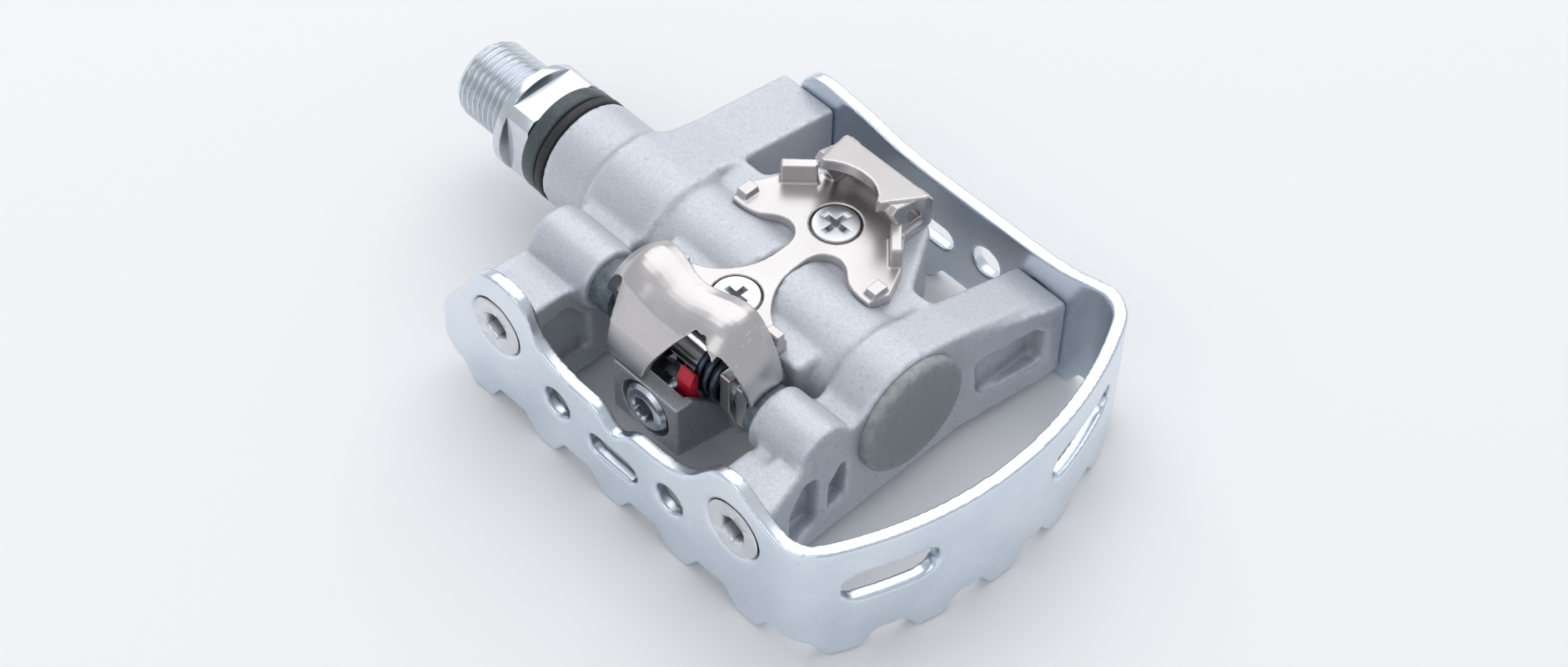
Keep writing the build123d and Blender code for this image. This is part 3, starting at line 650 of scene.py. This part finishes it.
def blend_rows(rows, place):
    """A smooth in-between of equally spaced rows of numbers (Catmull-Rom)."""
    i = min(int(place), len(rows) - 2)
    t = place - i
    before, after = rows[max(i - 1, 0)], rows[min(i + 2, len(rows) - 1)]
    return [
        0.5 * (2 * b + (c - a) * t + (2 * a - 5 * b + 4 * c - d) * t * t + (3 * b - a - 3 * c + d) * t ** 3)
        for a, b, c, d in zip(before, rows[i], rows[i + 1], after)
    ]


def jaw_profile(station):
    """The points of one section, from under the lip over the roof and down the rear wall."""
    x, lip, roof, crease = station[0], station[1:3], station[3:5], station[5:7]
    keys = [(lip[0] + 0.1, lip[1] - 1.7), lip, roof, crease]
    line = [Vector((x, *keys[0])), Vector((x, *keys[1]))]
    for k in range(1, 9):
        t = k / 8
        y = (1 - t) ** 2 * lip[0] + 2 * t * (1 - t) * (2 * roof[0] - (lip[0] + crease[0]) / 2) + t * t * crease[0]
        z = (1 - t) ** 2 * lip[1] + 2 * t * (1 - t) * (2 * roof[1] - (lip[1] + crease[1]) / 2) + t * t * crease[1]
        line.append(Vector((x, y, z)))
    for low in REAR_WALL:
        top = line[-1]
        foot = Vector((x, *low))
        line += [top.lerp(foot, t / 4) for t in range(1, 5)]
    return line


def jaw_skin(centre_x):
    """The jaw's outer face as an open sheet; the rear wall is left out beyond its half width."""
    half = [[s[0], *s[1], *s[2], *s[3]] for s in JAW_SECTIONS]
    stations = []
    for k in range(-40, 41):
        row = blend_rows(half, abs(k) / 40 * (len(half) - 1))
        row[0] *= -1 if k < 0 else 1
        stations.append(row)
    bm = bmesh.new()
    lines = [[bm.verts.new(((centre_x + p.x * MM), p.y * MM, p.z * MM)) for p in jaw_profile(s)] for s in stations]
    for left, right, station in zip(lines, lines[1:], stations):
        last = len(left) - 1 if abs(station[0]) < REAR_HALF else 9
        for j in range(last):
            bm.faces.new((left[j], right[j], right[j + 1], left[j + 1]))
    loose = [v for v in bm.verts if not v.link_faces]
    bmesh.ops.delete(bm, geom=loose, context="VERTS")
    mesh = bpy.data.meshes.new("jaw_skin")
    bm.to_mesh(mesh)
    bm.free()
    return mesh


def prism_y(outline, centre_x, y0, y1):
    """A closed prism along Y from an (x, z) outline, used as a cutter."""
    bm = bmesh.new()
    rows = [[bm.verts.new((centre_x + x * MM, y * MM, z * MM)) for x, z in outline] for y in (y0, y1)]
    bm.faces.new(rows[0])
    bm.faces.new(list(reversed(rows[1])))
    for i in range(len(outline)):
        j = (i + 1) % len(outline)
        bm.faces.new((rows[0][i], rows[1][i], rows[1][j], rows[0][j]))
    bmesh.ops.recalc_face_normals(bm, faces=bm.faces)
    mesh = bpy.data.meshes.new("cutter")
    bm.to_mesh(mesh)
    bm.free()
    return mesh


def cut_away(mesh, *cutters):
    obj = loose_object(mesh)
    tools = [loose_object(c) for c in cutters]
    for tool in tools:
        cut = obj.modifiers.new("cut", "BOOLEAN")
        cut.operation = "DIFFERENCE"
        cut.object = tool
    result = evaluated(obj)
    for tool in tools:
        bpy.data.objects.remove(tool)
    return result


def gap_cutter(radius_mm, depth_mm, place, facing):
    """A plug sunk round a bolt or screw head, so that a thin dark gap is left beside the head."""
    plug = lathe([(0, -depth_mm), (radius_mm, -depth_mm), (radius_mm, 2.0), (0, 2.0)], 48)
    turn = Vector((0, 0, 1)).rotation_difference(Vector(facing)).to_matrix().to_4x4()
    plug.transform(Matrix.Translation(place) @ turn)
    return plug


def thickened(mesh, wall_mm):
    obj = loose_object(mesh)
    wall = obj.modifiers.new("sheet_wall", "SOLIDIFY")
    wall.thickness = wall_mm * MM
    wall.offset = -1.0
    return evaluated(obj)


def joined(*meshes):
    bm = bmesh.new()
    for mesh in meshes:
        bm.from_mesh(mesh)
    result = bpy.data.meshes.new("joined")
    bm.to_mesh(result)
    bm.free()
    return result


def add_binding():
    middle_x = PIN.x
    shell = thickened(jaw_skin(middle_x), 1.7)
    shell = cut_away(shell, prism_y(WINDOW, middle_x, -32, -21.0))
    ears = []
    for side in (-1, 1):
        beside = (Vector((middle_x + side * 8.8 * MM, 0, 0)), Vector((side, 0, 0)))
        below = (Vector((0, 0, 9.0 * MM)), Vector((0, 0, -1)))
        ahead = (Vector((0, -20.6 * MM, 0)), Vector((0, 1, 0)))
        ears.append(joined_copy("rear_binding", beside, below, ahead))
    jaw = softened(joined(shell, *ears), 0.17, 5)
    add_piece("jaw_shell", jaw, "jaw_chrome", "jaw", "rear_binding")
    block = softened(joined_copy("tension_block"), 0.22, 3)
    add_piece("bolt_block", block, "block_steel", "jaw", "tension_block")


def add_plate():
    """The pressed claw plate, its two sunk screws and the dark gaps round them."""
    low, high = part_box("plate_screws")
    places = [Vector((PIN.x, y, high.z)) for y in (low.y + SCREW_HEAD_R, high.y - SCREW_HEAD_R)]
    gaps = [gap_cutter(4.12, 0.9, place, (0, 0, 1)) for place in places]
    plate = softened(cut_away(joined_copy("cleat_plate"), *gaps), 0.2, 3)
    add_piece("claw_plate", plate, "jaw_chrome", "pedal", "cleat_plate")
    head = lathe([
        (0, -3.0), (2.0, -3.0), (2.0, -2.0), (3.6, -0.75),
        (3.82, -0.3), (3.7, -0.06), (3.2, 0.0), (2.1, 0.0),
        (1.95, -0.08, cross_rim), (1.75, -0.5, cross_rim), (1.2, -1.2, cross_rim), (0, -1.6),
    ], 96)
    mesh = set_on_points("plate_screw_set", head, places, [(0, 0, 1)] * 2, FINISHES["screw_steel"])
    add_piece("plate_screw_heads", mesh, "screw_steel", "pedal", "plate_screws")


def add_adjuster():
    """The adjusting bolt with its rounded hex-socket head; it faces the rear."""
    low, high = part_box("tension_bolt")
    length = (high.y - low.y) / MM
    radius = (high.z - low.z) / 2 / MM
    bolt = lathe([
        (0, -length), (1.4, -length), (1.6, -length + 0.3), (1.6, -2.6),
        (radius - 0.1, -2.6), (radius, -2.4), (radius, -0.9),
        (radius - 0.5, -0.25), (radius - 1.3, 0.0), (2.45, -0.02),
        (2.0, -0.35, hex_rim), (1.95, -2.0, hex_rim), (0, -2.4),
    ], 72)
    place = Vector((BOLT_AXIS.x, low.y, BOLT_AXIS.z))
    bolt.transform(Matrix.Translation(place) @ Matrix.Rotation(math.pi / 2, 4, "X"))
    add_piece("adjusting_bolt", bolt, "zinc_steel", "adjuster", "tension_bolt")


def add_springs():
    """The two torsion springs round the hinge pin, one each side of the adjusting bolt."""
    tree = coil_tree(FINISHES["spring_steel"])
    for node, side in (("spring_inner", -1), ("spring_outer", 1)):
        low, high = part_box(node)
        near, far = (low.x, high.x) if side > 0 else (high.x, low.x)
        coil = high.z - PIN.z - SPRING_CLEAR
        mesh = tree.grow(
            bpy.data.meshes.new("blank"), Coil_Radius=coil, Width=abs(far - near) - 2 * SPRING_CLEAR,
            Wire_Radius=SPRING_WIRE_R, Leg_Down=PIN.z - coil - low.z, Leg_Ahead=high.y - PIN.y, Side=float(side),
        )
        mesh.transform(Matrix.Translation((near + side * SPRING_CLEAR, PIN.y, PIN.z)))
        add_piece("coil_" + node, smooth_faces(mesh, 50.0), "spring_steel", "pedal", node)


def add_rings():
    """The round cap, the dust ring and the rubber lip, with broken edges."""
    low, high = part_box("end_cap")
    radius = (high.z - low.z) / 2 / MM
    out = high.x / MM
    cap = lathe([
        (0, low.x / MM), (8.3, low.x / MM), (8.3, out - 2.1),
        (radius - 0.1, out - 2.1), (radius, out - 1.9), (radius, out - 0.9),
        (radius - 0.15, out - 0.5), (radius - 0.5, out - 0.18),
        (radius - 1.1, out - 0.04), (radius - 3.5, out), (0, out),
    ], 96)
    add_piece("barrel_cap", along_x(cap, 0), "cap_plastic", "pedal", "end_cap")
    add_piece("dark_ring", bevelled(joined_copy("dust_ring"), 0.3), "ring_plastic", "spindle", "dust_ring")
    add_piece("rubber_lip", bevelled(joined_copy("seal_lip"), 0.3), "seal_rubber", "pedal", "seal_lip")


def bolt_places():
    """Centre of each cage bolt's outer face and the way it faces."""
    bm = bmesh.new()
    bm.from_mesh(joined_copy("cage_bolts"))
    places, facings, seen = [], [], set()
    for start in bm.verts:
        if start in seen:
            continue
        island, queue = [], [start]
        seen.add(start)
        while queue:
            vert = queue.pop()
            island.append(vert.co.copy())
            for edge in vert.link_edges:
                other = edge.other_vert(vert)
                if other not in seen:
                    seen.add(other)
                    queue.append(other)
        first = Vector([min(c[i] for c in island) for i in range(3)])
        last = Vector([max(c[i] for c in island) for i in range(3)])
        side = 1 if first.y > 0 else -1
        places.append(Vector(((first.x + last.x) / 2, last.y if side > 0 else first.y, (first.z + last.z) / 2)))
        facings.append((0, side, 0))
    bm.free()
    return places, facings


def add_cage():
    gaps = [gap_cutter(5.5, 0.8, place, facing) for place, facing in zip(*bolt_places())]
    cage = softened(cut_away(joined_copy("cage"), *gaps), 0.38, 3)
    add_piece("cage_strip", cage, "cage_zinc", "pedal", "cage")


def add_bolts():
    places, facings = bolt_places()
    head = lathe([
        (0, -5.0), (2.4, -5.0), (2.4, -2.6), (5.0, -0.45),
        (5.15, -0.2), (4.95, 0.0), (2.75, 0.0), (2.3, -0.2, hex_rim),
        (2.15, -0.5, hex_rim), (2.1, -2.0, hex_rim), (0, -2.5),
    ], 60)
    mesh = set_on_points("cage_bolt_set", head, places, facings, FINISHES["screw_steel"])
    add_piece("cage_bolt_heads", mesh, "screw_steel", "pedal", "cage_bolts")


add_spindle()
add_body()
add_binding()
add_plate()
add_adjuster()
add_springs()
add_rings()
add_cage()
add_bolts()


# =====================================================================
# camera, floor and light
# =====================================================================
def aim(obj, back, roll=0.0):
    """Turn an object so that its local +Z points along back, with a small roll."""
    back = back.normalized()
    right = Vector((0, 0, 1)).cross(back).normalized()
    up = back.cross(right)
    turned_right = right * math.cos(roll) + up * math.sin(roll)
    turned_up = up * math.cos(roll) - right * math.sin(roll)
    obj.rotation_euler = Matrix((turned_right, turned_up, back)).transposed().to_euler()


def add_camera():
    flat = math.cos(CAMERA_ELEVATION)
    back = Vector((
        math.sin(CAMERA_AZIMUTH) * flat, -math.cos(CAMERA_AZIMUTH) * flat, math.sin(CAMERA_ELEVATION),
    ))
    camera = bpy.data.objects.new("camera", bpy.data.cameras.new("camera"))
    bpy.context.collection.objects.link(camera)
    camera.data.sensor_width = 36.0
    camera.data.lens = CAMERA_LENS
    camera.data.clip_start = 0.01
    camera.location = CAMERA_TARGET + back * CAMERA_DISTANCE
    aim(camera, back, CAMERA_ROLL)
    bpy.context.scene.camera = camera


def add_floor():
    mesh = bpy.data.meshes.new("floor")
    corners = [(x * FLOOR_HALF, y * FLOOR_HALF, FLOOR_Z) for x, y in ((-1, -1), (1, -1), (1, 1), (-1, 1))]
    mesh.from_pydata(corners, [], [(0, 1, 2, 3)])
    floor = bpy.data.objects.new("floor", mesh)
    bpy.context.collection.objects.link(floor)
    material = start_material("floor_white")
    bsdf = material.node_tree.nodes["Principled BSDF"]
    bsdf.inputs["Base Color"].default_value = (0.93, 0.93, 0.935, 1.0)
    bsdf.inputs["Roughness"].default_value = 0.9
    bsdf.inputs["Specular IOR Level"].default_value = 0.1
    mesh.materials.append(material)


def add_light(name, place, size, power):
    light = bpy.data.lights.new(name, "AREA")
    light.shape = "RECTANGLE"
    light.size, light.size_y = size
    light.energy = power
    obj = bpy.data.objects.new(name, light)
    bpy.context.collection.objects.link(obj)
    obj.location = Vector(place)
    aim(obj, Vector(place) - LIGHT_TARGET)


def add_world():
    world = bpy.data.worlds.new("studio")
    bpy.context.scene.world = world
    world.use_nodes = True
    world.node_tree.nodes["Background"].inputs["Color"].default_value = (0.93, 0.96, 1.0, 1.0)
    world.node_tree.nodes["Background"].inputs["Strength"].default_value = 0.62


add_camera()
add_floor()
add_world()
add_light("key", (-0.5, 0.6, 1.1), (1.9, 1.9), 12.0)
add_light("fill", (0.2, -0.9, 0.9), (0.9, 0.6), 1.6)
bpy.context.scene.view_settings.view_transform = "Standard"
